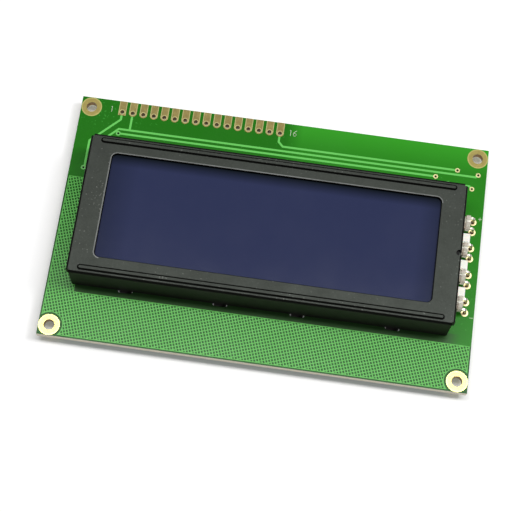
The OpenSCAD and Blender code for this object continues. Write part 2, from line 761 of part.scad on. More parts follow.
// Single tracks from the front's vias and the small parts
module links() {
    left_ys = [chip_y + 0.7, chip_y - 0.5, chip_y - 1.7];
    starts = [low_start, mid_start, side_via];
    turns = [14, 10, 7];        // where each left track turns towards the controller, in Y
    ladder_fans = [2, 4, 7, 9]; // fan tracks that feed the ladder
    for (i = [0:2])
        trace([starts[i], [starts[i][0], turns[i]], [starts[i][0] + turns[i] - left_ys[i], left_ys[i]],
               [controller_x, left_ys[i]]], back_track_w);
    slant = 6;                  // width of the right track's slanted stretch
    trace([low_via, [low_via[0], chip_y + slant], [low_via[0] - slant, chip_y], [driver_2_x, chip_y]],
          back_track_w);
    for (x = row_xs)
        trace([[x - chip_reach, row_y], [x - chip_reach, ladder_y - back_track_w / 2]], back_track_w);
    trace([[row_xs[0] - chip_reach, ladder_y], [filter_x - chip_reach, ladder_y]], back_track_w);
    for (k = [0:3]) trace([[row_xs[k] + chip_reach, row_y], [row_xs[k] + chip_reach, row_y + 1.5],
                           [fan_x(controller_x, ladder_fans[k]), -contact_y]], back_track_w);
    trace([[supply_xs[0] + chip_reach, supply_y], [supply_xs[1] - chip_reach, supply_y]], track_w);
    trace([[supply_xs[1] + chip_reach, supply_y], [low_via[0] - 0.45, supply_y], low_via], track_w);
    trace([[supply_xs[0] - chip_reach, supply_y], [header_x(pad_count - 1) + 4, supply_y],
           [header_x(pad_count - 1), supply_y + 4]], track_w);
}

module back_tracks() {
    lands = concat(resistor_points, capacitor_points);
    color(maskedCopper) difference() {
        translate([0, 0, back_z - copper_t]) linear_extrude(copper_t) {
            header_fan();
            lamp_supply();
            links();
            for (k = [-2.5:1:2.5])
                trace([[controller_x, chip_y + k], [driver_2_x, chip_y + k]], back_track_w);
            fan(controller_x, -1);
            for (x = [driver_1_x, driver_2_x], s = [-1, 1]) fan(x, s);
            for (p = lands, s = [-1, 1]) translate([p[0] + s * chip_reach, p[1]])
                square([land_l, land_w], center = true);
        }
        translate([0, 0, back_z - copper_t - over]) {
            for (c = [[controller_x, controller_r], [driver_1_x, driver_r], [driver_2_x, driver_r]])
                translate([c[0], chip_y]) cylinder(h = 3 * over, r = c[1] + slip, $fn = 96);
            for (y = lead_ys) translate([lead_x, y])
                cylinder(h = 3 * over, r = lamp_pad_r + slip, $fn = fine);
        }
        pad_cuts(back_z - copper_t);
    }
}

circuit_board();
mounting_pads();
header_pads();
lamp_pads();
vias();
front_tracks();
back_tracks();
ground_hatch();
zebra_contacts();
bezel();
front_polariser();
front_glass();
cell_seal();
rear_glass();
rear_polariser();
upper_zebra_strip();
lower_zebra_strip();
backlight_tray();
reflector_film();
light_guide();
diffuser_stack();
lamp_1();
lamp_2();
lamp_3();
lamp_4();
lamp_leads_1();
lamp_leads_2();
lamp_leads_3();
lamp_leads_4();
solder_joints();
controller_blob();
driver_blob_1();
driver_blob_2();
chip_resistors();
chip_capacitors();
chip_ends();
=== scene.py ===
import math

import bpy
from mathutils import Matrix, Vector
from mathutils.geometry import delaunay_2d_cdt


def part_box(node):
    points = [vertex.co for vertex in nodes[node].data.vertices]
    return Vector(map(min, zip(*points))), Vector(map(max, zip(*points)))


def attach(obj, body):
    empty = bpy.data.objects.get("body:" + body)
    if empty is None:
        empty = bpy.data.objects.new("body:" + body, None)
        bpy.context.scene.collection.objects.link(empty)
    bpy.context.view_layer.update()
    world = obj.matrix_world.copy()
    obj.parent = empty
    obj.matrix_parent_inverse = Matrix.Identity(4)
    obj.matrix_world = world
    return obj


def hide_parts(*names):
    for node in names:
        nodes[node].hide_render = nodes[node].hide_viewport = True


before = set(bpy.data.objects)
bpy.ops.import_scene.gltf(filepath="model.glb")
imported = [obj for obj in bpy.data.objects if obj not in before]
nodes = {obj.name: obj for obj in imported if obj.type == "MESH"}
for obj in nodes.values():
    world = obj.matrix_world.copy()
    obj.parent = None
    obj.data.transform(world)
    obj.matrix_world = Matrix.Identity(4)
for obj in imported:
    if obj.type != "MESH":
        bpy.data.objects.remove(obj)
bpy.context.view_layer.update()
mm = 0.001
body = "root"
scene = bpy.context.scene
scene.view_settings.view_transform = "Standard"
print("frame loaded,", len(nodes), "nodes")

# places on the board, taken from the solids
boardLow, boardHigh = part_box("circuit_board")
boardTop = boardHigh.z
boardBack = boardLow.z
bezelLow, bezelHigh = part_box("bezel")
halfWidth = boardHigh.x / mm
halfHeight = boardHigh.y / mm

cameraPlan = {
    "place": (6.3534, -112.6419, 309.3655),  # mm
    "aim": (-2.1984, -5.9810, 8.0),
    "roll": 3.5274,  # degrees, clockwise
    "lens": 98.668,
    "sensor": 36.0,
    "clip": (0.01, 20.0),  # m
}


def placeCamera(plan):
    data = bpy.data.cameras.new("benchCamera")
    data.sensor_width = plan["sensor"]
    data.lens = plan["lens"]
    data.clip_start, data.clip_end = plan["clip"]
    camera = bpy.data.objects.new("benchCamera", data)
    scene.collection.objects.link(camera)
    place = Vector(plan["place"]) * mm
    turn = (Vector(plan["aim"]) * mm - place).to_track_quat("-Z", "Y").to_matrix().to_4x4()
    spin = math.radians(plan["roll"])
    camera.matrix_world = Matrix.Translation(place) @ turn @ Matrix.Rotation(spin, 4, "Z")
    scene.camera = camera


placeCamera(cameraPlan)
print("camera placed")


# sets a socket to a number or a tone, or links another node's output to it
def plug(tree, socket, value):
    if isinstance(value, bpy.types.NodeSocket):
        tree.links.new(value, socket)
    elif isinstance(value, tuple):
        socket.default_value = (*value, 1)
    else:
        socket.default_value = value


def mathNode(tree, operation, first, second=0.0):
    node = tree.nodes.new("ShaderNodeMath")
    node.operation = operation
    plug(tree, node.inputs[0], first)
    plug(tree, node.inputs[1], second)
    return node.outputs[0]


def rangeNode(tree, value, fromLow, fromHigh, toLow=0.0, toHigh=1.0):
    node = tree.nodes.new("ShaderNodeMapRange")
    sockets = {"Value": value, "From Min": fromLow, "From Max": fromHigh, "To Min": toLow, "To Max": toHigh}
    for label, number in sockets.items():
        plug(tree, node.inputs[label], number)
    return node.outputs["Result"]


def lengthNode(tree, x, y):
    squares = [mathNode(tree, "MULTIPLY", side, side) for side in (x, y)]
    return mathNode(tree, "SQRT", mathNode(tree, "ADD", *squares))


def mixColour(tree, factor, first, second):
    node = tree.nodes.new("ShaderNodeMix")
    node.data_type = "RGBA"
    plug(tree, node.inputs["Factor"], factor)
    plug(tree, node.inputs[6], first)
    plug(tree, node.inputs[7], second)
    return node.outputs[2]


def splitNode(tree, place):
    node = tree.nodes.new("ShaderNodeSeparateXYZ")
    plug(tree, node.inputs[0], place)
    return node.outputs


def noiseNode(tree, place, scale, detail=2.0, rough=0.5):
    node = tree.nodes.new("ShaderNodeTexNoise")
    for label, value in {"Vector": place, "Scale": scale, "Detail": detail, "Roughness": rough}.items():
        plug(tree, node.inputs[label], value)
    return node.outputs["Fac"]


# pale table and soft lamps; the table shows white to the camera and in reflections
lightPlan = {
    "skyTone": (0.22, 0.22, 0.225),
    "overhead": {"place": (0.18, 0.15, 0.9), "size": (1.4, 0.19), "power": 7.6},  # hangs level
    "sideFill": {"place": (0.62, 0.20, 0.85), "size": (0.4, 0.25), "power": 2.6},
    "tableReach": 3.0, "tableTone": (0.92, 0.92, 0.92), "tableRough": 0.9, "tableGloss": 0.1,
    "tableGlow": (1.0, 1.0, 1.0), "tableLift": 0.13,
}


def addLamp(name, place, size, power, level=False):
    data = bpy.data.lights.new(name, "AREA")
    data.shape = "RECTANGLE"
    data.size, data.size_y = size
    data.energy = power
    lamp = bpy.data.objects.new(name, data)
    scene.collection.objects.link(lamp)
    lamp.location = place
    if not level:
        lamp.rotation_mode = "QUATERNION"
        lamp.rotation_quaternion = (-Vector(place)).to_track_quat("-Z", "Y")


def makePaper(plan):
    paper = bpy.data.materials.new("whitePaper")
    paper.use_nodes = True
    tree = paper.node_tree
    sockets = tree.nodes["Principled BSDF"].inputs
    path = tree.nodes.new("ShaderNodeLightPath").outputs
    reflected = mathNode(tree, "MAXIMUM", path["Is Glossy Ray"], path["Is Transmission Ray"])
    seen = mathNode(tree, "MAXIMUM", path["Is Camera Ray"], reflected)
    plug(tree, sockets["Base Color"], plan["tableTone"])
    plug(tree, sockets["Roughness"], plan["tableRough"])
    plug(tree, sockets["Specular IOR Level"], plan["tableGloss"])
    plug(tree, sockets["Emission Color"], plan["tableGlow"])
    plug(tree, sockets["Emission Strength"], mathNode(tree, "MULTIPLY", seen, plan["tableLift"]))
    return paper


def buildStudio(plan):
    world = bpy.data.worlds.new("room")
    world.use_nodes = True
    world.node_tree.nodes["Background"].inputs["Color"].default_value = (*plan["skyTone"], 1)
    scene.world = world
    addLamp("overheadBox", level=True, **plan["overhead"])
    addLamp("sideFill", **plan["sideFill"])
    reach = plan["tableReach"]
    mesh = bpy.data.meshes.new("tableTop")
    mesh.from_pydata([(-reach, -reach, 0), (reach, -reach, 0), (reach, reach, 0), (-reach, reach, 0)],
                     [], [(0, 1, 2, 3)])
    mesh.materials.append(makePaper(plan))
    table = bpy.data.objects.new("tableTop", mesh)
    scene.collection.objects.link(table)


buildStudio(lightPlan)
print("studio ready")


# surface effects that several finishes share
def newGroup(name, inputs, outputs):
    group = bpy.data.node_groups.new(name, "ShaderNodeTree")
    for label, kind in inputs:
        group.interface.new_socket(name=label, in_out="INPUT", socket_type=f"NodeSocket{kind}")
    for label in outputs:
        group.interface.new_socket(name=label, in_out="OUTPUT", socket_type="NodeSocketFloat")
    starts = group.nodes.new("NodeGroupInput").outputs
    ends = group.nodes.new("NodeGroupOutput").inputs
    return group, starts, ends


# fine grain for colour and bump, with broad soft smudges for gloss
grainPlan = {"coarseScale": 0.13, "fineShare": 0.65, "fine": (4.0, 0.6), "broad": (3.0, 0.65),
             "spread": (0.3, 0.7)}


def buildGrain(plan):
    group, starts, ends = newGroup("surfaceGrain", [
        ("Place", "Vector"), ("Grain Scale", "Float"), ("Smudge Scale", "Float"),
    ], ["Tone", "Smudge", "Height"])
    place = starts["Place"]
    fine = noiseNode(group, place, starts["Grain Scale"], *plan["fine"])
    coarseScale = mathNode(group, "MULTIPLY", starts["Grain Scale"], plan["coarseScale"])
    coarse = noiseNode(group, place, coarseScale)
    smudge = noiseNode(group, place, starts["Smudge Scale"], *plan["broad"])
    both = mathNode(group, "ADD", mathNode(group, "MULTIPLY", fine, plan["fineShare"]),
                    mathNode(group, "MULTIPLY", coarse, 1 - plan["fineShare"]))
    plug(group, ends["Tone"], rangeNode(group, both, *plan["spread"]))
    plug(group, ends["Smudge"], rangeNode(group, smudge, *plan["spread"]))
    plug(group, ends["Height"], both)
    return group


# glass cloth under the board's mask: two crossed sets of threads, and layers at its edges
weavePlan = {"Distortion": 0.6, "Detail": 2.0, "Detail Scale": 2.0}


def buildWeave(plan):
    group, starts, ends = newGroup("laminateWeave", [
        ("Place", "Vector"), ("Thread Scale", "Float"),
    ], ["Height", "Layers"])
    waves = []
    for direction in ("X", "Y", "Z"):
        wave = group.nodes.new("ShaderNodeTexWave")
        wave.bands_direction = direction
        for label, value in {"Vector": starts["Place"], "Scale": starts["Thread Scale"], **plan}.items():
            plug(group, wave.inputs[label], value)
        waves.append(wave.outputs["Fac"])
    plug(group, ends["Height"], mathNode(group, "MAXIMUM", waves[0], waves[1]))
    plug(group, ends["Layers"], waves[2])
    return group


# sparse specks of dust, scuffs or bare metal
speckPlan = {"speckShare": 0.75, "softness": 0.04}


def buildSpecks(plan):
    group, starts, ends = newGroup("fineSpecks", [
        ("Place", "Vector"), ("Speck Scale", "Float"), ("Patch Scale", "Float"), ("Rarity", "Float"),
    ], ["Mask"])
    speck = noiseNode(group, starts["Place"], starts["Speck Scale"])
    patch = noiseNode(group, starts["Place"], starts["Patch Scale"])
    mixed = mathNode(group, "ADD", mathNode(group, "MULTIPLY", speck, plan["speckShare"]),
                     mathNode(group, "MULTIPLY", patch, 1 - plan["speckShare"]))
    above = mathNode(group, "SUBTRACT", mixed, starts["Rarity"])
    plug(group, ends["Mask"], rangeNode(group, above, 0.0, plan["softness"]))
    return group


# 1 where both x and y are below the given limits
def buildArea():
    group, starts, ends = newGroup("areaMask", [
        ("Place", "Vector"), ("Right", "Float"), ("Top", "Float"),
    ], ["Mask"])
    split = splitNode(group, starts["Place"])
    left = mathNode(group, "LESS_THAN", split["X"], starts["Right"])
    below = mathNode(group, "LESS_THAN", split["Y"], starts["Top"])
    plug(group, ends["Mask"], mathNode(group, "MULTIPLY", left, below))
    return group


# distance out from a rounded rectangle about the origin, negative inside it
def buildWindow():
    group, starts, ends = newGroup("windowDistance", [
        ("Place", "Vector"), ("Half X", "Float"), ("Half Y", "Float"), ("Corner", "Float"),
    ], ["Distance"])
    split = splitNode(group, starts["Place"])
    beyond = []
    for axis in ("X", "Y"):
        flat = mathNode(group, "SUBTRACT", starts[f"Half {axis}"], starts["Corner"])
        off = mathNode(group, "SUBTRACT", mathNode(group, "ABSOLUTE", split[axis]), flat)
        beyond.append(mathNode(group, "MAXIMUM", off, 0.0))
    reach = lengthNode(group, *beyond)
    plug(group, ends["Distance"], mathNode(group, "SUBTRACT", reach, starts["Corner"]))
    return group


# fades in as a face turns level: its normal's height is 1 on level faces and 0 on walls
def buildLevel():
    group, starts, ends = newGroup("levelFaces", [
        ("Facing", "Vector"), ("From", "Float"), ("To", "Float"),
    ], ["Mask"])
    upright = mathNode(group, "ABSOLUTE", splitNode(group, starts["Facing"])["Z"])
    plug(group, ends["Mask"], rangeNode(group, upright, starts["From"], starts["To"]))
    return group


# 1 between two heights, where the plated barrels of the holes are
def buildBarrel():
    group, starts, ends = newGroup("barrelMask", [
        ("Place", "Vector"), ("Bottom", "Float"), ("Top", "Float"),
    ], ["Mask"])
    height = splitNode(group, starts["Place"])["Z"]
    under = mathNode(group, "LESS_THAN", height, starts["Top"])
    over = mathNode(group, "GREATER_THAN", height, starts["Bottom"])
    plug(group, ends["Mask"], mathNode(group, "MULTIPLY", under, over))
    return group


# fades in between two distances from a hole's middle
def buildRing():
    group, starts, ends = newGroup("ringMask", [
        ("Off X", "Float"), ("Off Y", "Float"), ("From", "Float"), ("To", "Float"),
    ], ["Mask"])
    reach = lengthNode(group, starts["Off X"], starts["Off Y"])
    plug(group, ends["Mask"], rangeNode(group, reach, starts["From"], starts["To"]))
    return group


grainGroup = buildGrain(grainPlan)
weaveGroup = buildWeave(weavePlan)
speckGroup = buildSpecks(speckPlan)
areaGroup = buildArea()
windowGroup = buildWindow()
levelGroup = buildLevel()
barrelGroup = buildBarrel()
ringGroup = buildRing()
print("surface effects ready")


def useGroup(tree, group, **values):
    node = tree.nodes.new("ShaderNodeGroup")
    node.node_tree = group
    for label, value in values.items():
        plug(tree, node.inputs[label.replace("_", " ")], value)
    return node.outputs


def levelMask(tree, ends):
    facing = tree.nodes.new("ShaderNodeNewGeometry").outputs["True Normal"]
    return useGroup(tree, levelGroup, Facing=facing, From=ends[0], To=ends[1])["Mask"]


def barrelMask(tree, place, depth):
    return useGroup(tree, barrelGroup, Place=place, Bottom=boardBack + depth * mm,
                    Top=boardTop - depth * mm)["Mask"]


def ringMask(tree, offX, offY, ends):
    return useGroup(tree, ringGroup, Off_X=offX, Off_Y=offY, From=ends[0] * mm, To=ends[1] * mm)["Mask"]


def fadeAlong(tree, value, ends, toLow=0.0):
    return rangeNode(tree, value, ends[0] * mm, ends[1] * mm, toLow)


# every plain finish: two tones, a gloss range, a bump and fixed shader values
plainLook = {"grain": 2500.0, "smudge": 60.0, "bump": 0.1, "bumpDepth": 0.02, "fixed": {}}


def makeFinish(name, look):
    look = dict(plainLook, **look)
    finish = bpy.data.materials.new(name)
    finish.use_nodes = True
    tree = finish.node_tree
    shader = tree.nodes["Principled BSDF"].inputs
    place = tree.nodes.new("ShaderNodeTexCoord").outputs["Object"]
    grain = useGroup(tree, grainGroup, Place=place, Grain_Scale=look["grain"], Smudge_Scale=look["smudge"])
    colour = mixColour(tree, grain["Tone"], look["tone"], look["toneToo"])
    plug(tree, shader["Base Color"], colour)
    plug(tree, shader["Roughness"], rangeNode(tree, grain["Smudge"], 0.0, 1.0, *look["gloss"]))
    bump = tree.nodes.new("ShaderNodeBump")
    bump.inputs["Strength"].default_value = look["bump"]
    bump.inputs["Distance"].default_value = look["bumpDepth"] * mm
    plug(tree, bump.inputs["Height"], grain["Height"])
    plug(tree, shader["Normal"], bump.outputs["Normal"])
    for label, value in look["fixed"].items():
        shader[label].default_value = value
    return finish, tree, shader, place, colour, grain, bump


finishes = {
    "tinnedPad": {"tone": (0.57, 0.455, 0.158), "toneToo": (0.51, 0.405, 0.142), "gloss": (0.14, 0.22),
                  "grain": 3200.0, "smudge": 900.0, "bump": 0.06, "fixed": {"Metallic": 0.5}},
    "tinnedVia": {"tone": (0.86, 0.76, 0.43), "toneToo": (0.76, 0.64, 0.32), "gloss": (0.30, 0.42),
                  "grain": 3200.0, "smudge": 900.0, "bump": 0.12, "fixed": {"Metallic": 0.75}},
    "maskedCopper": {"tone": (0.130, 0.550, 0.095), "toneToo": (0.110, 0.500, 0.080), "gloss": (0.22, 0.30),
                     "bump": 0.08, "fixed": {"Specular IOR Level": 0.2}},
    "deepFilm": {"tone": (0.060, 0.078, 0.200), "toneToo": (0.055, 0.073, 0.188), "gloss": (0.3, 0.4),
                 "fixed": {"Specular IOR Level": 0.1}},
    "trackCopper": {"tone": (0.155, 0.620, 0.120), "toneToo": (0.135, 0.575, 0.105), "gloss": (0.22, 0.30),
                    "bump": 0.08, "fixed": {"Specular IOR Level": 0.2}},
    "plateGlass": {"tone": (0.60, 0.70, 0.68), "toneToo": (0.56, 0.67, 0.65), "gloss": (0.02, 0.05),
                   "bump": 0.01, "fixed": {"Alpha": 0.18}},
    "blackTape": {"tone": (0.006, 0.006, 0.006), "toneToo": (0.004, 0.004, 0.004), "gloss": (0.5, 0.6),
                  "fixed": {"Specular IOR Level": 0.15}},
    "whitePlastic": {"tone": (0.97, 0.95, 0.88), "toneToo": (0.94, 0.92, 0.85), "gloss": (0.35, 0.5),
                     "bump": 0.12, "fixed": {"Subsurface Weight": 0.15, "Subsurface Scale": 0.0008}},
    "whiteFilm": {"tone": (0.90, 0.90, 0.90), "toneToo": (0.86, 0.86, 0.86), "gloss": (0.2, 0.3)},
    "clearAcrylic": {"tone": (0.92, 0.95, 0.97), "toneToo": (0.90, 0.94, 0.96), "gloss": (0.03, 0.08),
                     "bump": 0.02, "fixed": {"Transmission Weight": 0.9, "IOR": 1.49}},
    "lampEpoxy": {"tone": (0.98, 0.93, 0.83), "toneToo": (0.90, 0.82, 0.69), "gloss": (0.05, 0.12),
                  "grain": 900.0, "bump": 0.1, "fixed": {"Alpha": 0.62, "Coat Weight": 1.0,
                                                         "Coat Roughness": 0.05}},
    "lampFrame": {"tone": (0.24, 0.14, 0.08), "toneToo": (0.12, 0.06, 0.03), "gloss": (0.25, 0.4),
                  "grain": 3800.0, "bump": 0.15, "fixed": {"Metallic": 0.3}},
    "tinnedSteel": {"tone": (0.72, 0.69, 0.62), "toneToo": (0.52, 0.48, 0.40), "gloss": (0.22, 0.38),
                    "grain": 4200.0, "smudge": 700.0, "bump": 0.2, "fixed": {"Metallic": 1.0}},
    "solder": {"tone": (0.74, 0.74, 0.73), "toneToo": (0.62, 0.62, 0.62), "gloss": (0.14, 0.30),
               "grain": 2600.0, "smudge": 900.0, "bump": 0.25, "fixed": {"Metallic": 1.0}},
    # painted shade round the lamp leads
    "driedFlux": {"tone": (0.13, 0.045, 0.015), "toneToo": (0.070, 0.024, 0.009), "gloss": (0.12, 0.25),
                  "grain": 2600.0, "bump": 0.3},
    "blackEpoxy": {"tone": (0.016, 0.016, 0.018), "toneToo": (0.011, 0.011, 0.012), "gloss": (0.14, 0.26),
                   "grain": 900.0, "smudge": 160.0, "bump": 0.3, "bumpDepth": 0.05},
    "resistorBlack": {"tone": (0.022, 0.022, 0.026), "toneToo": (0.014, 0.014, 0.016), "gloss": (0.3, 0.45),
                      "bump": 0.2},
    "tanCeramic": {"tone": (0.42, 0.28, 0.16), "toneToo": (0.36, 0.24, 0.13), "gloss": (0.45, 0.6),
                   "grain": 4000.0, "bump": 0.3},
    "sealResin": {"tone": (0.50, 0.47, 0.42), "toneToo": (0.44, 0.42, 0.37), "gloss": (0.5, 0.65)},
    "silkInk": {"tone": (0.62, 0.72, 0.52), "toneToo": (0.46, 0.60, 0.38), "gloss": (0.5, 0.65),
                "grain": 5200.0, "bump": 0.3},
    "yellowPhosphor": {"tone": (0.62, 0.47, 0.16), "toneToo": (0.52, 0.38, 0.12), "gloss": (0.5, 0.6),
                       "grain": 6000.0, "bump": 0.3},
}
made = {name: makeFinish(name, look)[0] for name, look in finishes.items()}


# satin black paint on the stamped sheet, with painted shade on its slopes and walls given their own painted
# light tone; painted shade just inside the window's left and top edges and a painted highlight along them
bezelLook = {
    "tone": (0.043, 0.048, 0.042), "toneToo": (0.031, 0.035, 0.030), "gloss": (0.42, 0.50),
    "grain": 2600.0, "smudge": 120.0, "bump": 0.45,
    "fixed": {"Metallic": 0.85, "Specular Tint": (0.5, 0.5, 0.5, 1.0)},
    "speckTone": (0.10, 0.105, 0.095),
    "specks": {"Speck_Scale": 1900.0, "Patch_Scale": 70.0, "Rarity": 0.64},
    "slopeShadeTone": (0.007, 0.0075, 0.006), "slopeEnds": (0.95, 0.985),
    "wallLightTone": (0.076, 0.064, 0.066), "wallEnds": (0.2, 0.08),
    "windowHalf": (38.27, 12.82), "windowCorner": 1.36, "windowShadeTone": (0.003, 0.003, 0.003),
    "rimWidth": 0.26, "rimHighlightTone": (0.14, 0.145, 0.14), "rimLeft": -37.0, "rimTop": 11.5,
    "rimHighlightFloor": 0.5, "rimHighlightReach": 0.7,
}


def makeBezelFinish(look):
    finish, tree, shader, place, paint, grain = makeFinish("blackSteel", look)[:6]
    specks = useGroup(tree, speckGroup, Place=place, **look["specks"])
    worn = mixColour(tree, specks["Mask"], paint, look["speckTone"])
    # painted shade: the sloped faces of the ribs and folds get a near-black tone
    sloped = mixColour(tree, levelMask(tree, look["slopeEnds"]), look["slopeShadeTone"], worn)
    # painted light: the upright walls get their own lighter tone, tinted against the green light the board
    # throws on them
    walled = mixColour(tree, levelMask(tree, look["wallEnds"]), sloped, look["wallLightTone"])
    halfX, halfY = look["windowHalf"]
    distance = useGroup(tree, windowGroup, Place=place, Half_X=halfX * mm, Half_Y=halfY * mm,
                        Corner=look["windowCorner"] * mm)["Distance"]
    split = splitNode(tree, place)
    left = mathNode(tree, "LESS_THAN", split["X"], look["rimLeft"] * mm)
    top = mathNode(tree, "GREATER_THAN", split["Y"], look["rimTop"] * mm)
    leftOrTop = mathNode(tree, "MAXIMUM", left, top)
    # painted highlight along the window's left and top edges, broken up by the smudge noise
    rimHighlightBreakup = rangeNode(tree, grain["Smudge"], 0.0, look["rimHighlightReach"], look["rimHighlightFloor"])
    rim = mathNode(tree, "LESS_THAN", distance, look["rimWidth"] * mm)
    rimHighlightMask = mathNode(tree, "MULTIPLY", mathNode(tree, "MULTIPLY", rim, rimHighlightBreakup), leftOrTop)
    rimHighlighted = mixColour(tree, rimHighlightMask, walled, look["rimHighlightTone"])
    # painted shade: the window's inner edge faces on the left and top get a near-black tone
    inWindow = mathNode(tree, "MULTIPLY", mathNode(tree, "LESS_THAN", distance, 0.0), leftOrTop)
    plug(tree, shader["Base Color"], mixColour(tree, inWindow, rimHighlighted, look["windowShadeTone"]))
    return finish


made["blackSteel"] = makeBezelFinish(bezelLook)


# where the copper plane lies and how its openings repeat, in mm
hatchPlan = {
    "pitchAcross": 0.658, "pitchAlong": 0.73, "holeAcross": 0.43, "holeAlong": 0.54, "turn": 19.8,
    "edge": 0.35, "border": 0.16, "thickness": 0.05, "arcSteps": 18,
    "holeInset": 2.5, "ringClear": 3.0, "stripTop": -18.95, "leftStrip": -42.4, "leftTop": 9.2,
}

# green mask on both faces: darker in the plane's openings, with painted shade at the bezel's foot and a
# painted sheen towards the rear right; bare laminate edges, with painted shade in the holes and slots
boardLook = {
    "tone": (0.014, 0.172, 0.006), "toneToo": (0.012, 0.158, 0.005), "gloss": (0.18, 0.26),
    "grain": 1400.0, "smudge": 45.0, "bump": 0.05, "fixed": {"Specular IOR Level": 0.14},
    "sheenTone": (0.034, 0.318, 0.017), "sheenX": (0.5, 4.5), "sheenY": (23.0, 29.5), "sheenLow": 0.3,
    "strayTone": (0.045, 0.32, 0.035),
    "specks": {"Speck_Scale": 2400.0, "Patch_Scale": 60.0, "Rarity": 0.66},
    "underPlane": (0.009, 0.098, 0.007), "noLimit": 1.0,
    "footShadeTone": (0.031, 0.086, 0.025), "footInset": 1.4, "footFade": 2.5,
    "laminate": (0.86, 0.78, 0.62), "laminateDark": (0.72, 0.63, 0.46), "slotShadeTone": (0.05, 0.045, 0.02),
    "edgeDepth": 0.1, "faceEnds": (0.4, 0.6), "threadScale": 420.0, "threadHeight": 0.25,
}


def makeBoard(look, plane):
    finish, tree, shader, place, green, grain, bump = makeFinish("greenMask", look)
    split = splitNode(tree, place)

    def belowLeft(right, top):
        return useGroup(tree, areaGroup, Place=place, Right=right, Top=top)["Mask"]

    onFront = mathNode(tree, "GREATER_THAN", split["Z"], (boardTop + boardBack) / 2)
    # painted sheen: lighter mask towards the rear right, fading in along x and y
    sheenX = fadeAlong(tree, split["X"], look["sheenX"])
    sheenY = fadeAlong(tree, split["Y"], look["sheenY"], look["sheenLow"])
    sheen = mathNode(tree, "MULTIPLY", mathNode(tree, "MULTIPLY", sheenX, sheenY), onFront)
    specks = useGroup(tree, speckGroup, Place=place, **look["specks"])
    lit = mixColour(tree, sheen, green, look["sheenTone"])
    dusty = mixColour(tree, specks["Mask"], lit, look["strayTone"])

    # painted shade: the mask at the bezel's south and west feet, shaded by the bezel and reflecting its dark
    # wall, gets a dark tone
    inset = look["footInset"] * mm
    fadeEnds = (bezelHigh.x / mm + look["footFade"], bezelHigh.x / mm - look["footInset"])
    southFade = fadeAlong(tree, split["X"], fadeEnds)
    southFoot = mathNode(tree, "MULTIPLY", belowLeft(look["noLimit"], bezelLow.y + inset), southFade)
    westFoot = belowLeft(bezelLow.x + inset, plane["leftTop"] * mm)
    footShade = mathNode(tree, "MULTIPLY", mathNode(tree, "MAXIMUM", southFoot, westFoot), onFront)
    footed = mixColour(tree, footShade, dusty, look["footShadeTone"])

    strip = belowLeft(look["noLimit"], plane["stripTop"] * mm)
    corner = belowLeft(plane["leftStrip"] * mm, plane["leftTop"] * mm)
    covered = mathNode(tree, "MULTIPLY", mathNode(tree, "MAXIMUM", strip, corner), onFront)
    mask = mixColour(tree, covered, footed, look["underPlane"])

    depth = look["edgeDepth"] * mm
    rind = useGroup(tree, windowGroup, Place=place, Half_X=boardHigh.x - depth, Half_Y=boardHigh.y - depth)
    outer = mathNode(tree, "GREATER_THAN", rind["Distance"], 0.0)
    weave = useGroup(tree, weaveGroup, Place=place, Thread_Scale=look["threadScale"])
    layers = mixColour(tree, weave["Layers"], look["laminate"], look["laminateDark"])
    # painted shade: the walls of holes and slots inside the board's outline get a dark tone, while the outer
    # edges show the laminate
    edge = mixColour(tree, outer, look["slotShadeTone"], layers)
    plug(tree, shader["Base Color"], mixColour(tree, levelMask(tree, look["faceEnds"]), edge, mask))
    threads = mathNode(tree, "MULTIPLY", weave["Height"], look["threadHeight"])
    plug(tree, bump.inputs["Height"], mathNode(tree, "ADD", grain["Height"], threads))
    return finish


made["greenMask"] = makeBoard(boardLook, hatchPlan)


# conductive strips: thin dark and light layers side by side
stripLook = {
    "tone": (0.05, 0.05, 0.05), "toneToo": (0.04, 0.04, 0.04), "gloss": (0.5, 0.6),
    "layerTone": (0.30, 0.30, 0.29), "layers": {"Scale": 1600.0, "Distortion": 0.1},
}


def makeStrip(look):
    finish, tree, shader, place, dark = makeFinish("layeredRubber", look)[:5]
    wave = tree.nodes.new("ShaderNodeTexWave")
    wave.bands_direction = "X"
    for label, value in {"Vector": place, **look["layers"]}.items():
        plug(tree, wave.inputs[label], value)
    plug(tree, shader["Base Color"], mixColour(tree, wave.outputs["Fac"], dark, look["layerTone"]))
    return finish


made["layeredRubber"] = makeStrip(stripLook)


# navy film with the bezel's shadow painted on: fades to near black below the window's top edge, and a little
# at both ends
filmLook = {
    "tone": (0.027, 0.034, 0.087), "toneToo": (0.025, 0.032, 0.083), "gloss": (0.10, 0.16),
    "grain": 5000.0, "bump": 0.02, "fixed": {"Specular IOR Level": 0.15}, "bezelShadowTone": (0.004, 0.007, 0.012),
    "topShadowFade": (12.5, 9.9), "leftShadowFade": (-38.1, -31.5), "rightShadowFade": (38.1, 33.5), "endShadowLevel": 0.6,
}


def makeFilm(look):
    finish, tree, shader, place, navy = makeFinish("displayFilm", look)[:5]
    split = splitNode(tree, place)
    # painted shadow of the window's top edge and both ends
    lit = fadeAlong(tree, split["Y"], look["topShadowFade"])
    for ends in (look["leftShadowFade"], look["rightShadowFade"]):
        lit = mathNode(tree, "MULTIPLY", lit, fadeAlong(tree, split["X"], ends, look["endShadowLevel"]))
    plug(tree, shader["Base Color"], mixColour(tree, lit, look["bezelShadowTone"], navy))
    return finish


made["displayFilm"] = makeFilm(filmLook)


# header pads: painted shade in the plated barrels, a painted highlight round the holes and along their sides
headerLook = dict(
    finishes["tinnedPad"], barrelShadeTone=(0.30, 0.15, 0.03), barrelDepth=0.12,
    pitch=2.54, gaps=15, ring=(0.72, 0.66), side=0.74,
    padHighlightTone=(0.68, 0.60, 0.27), dullMetal=0.7, brightMetal=0.3,
)


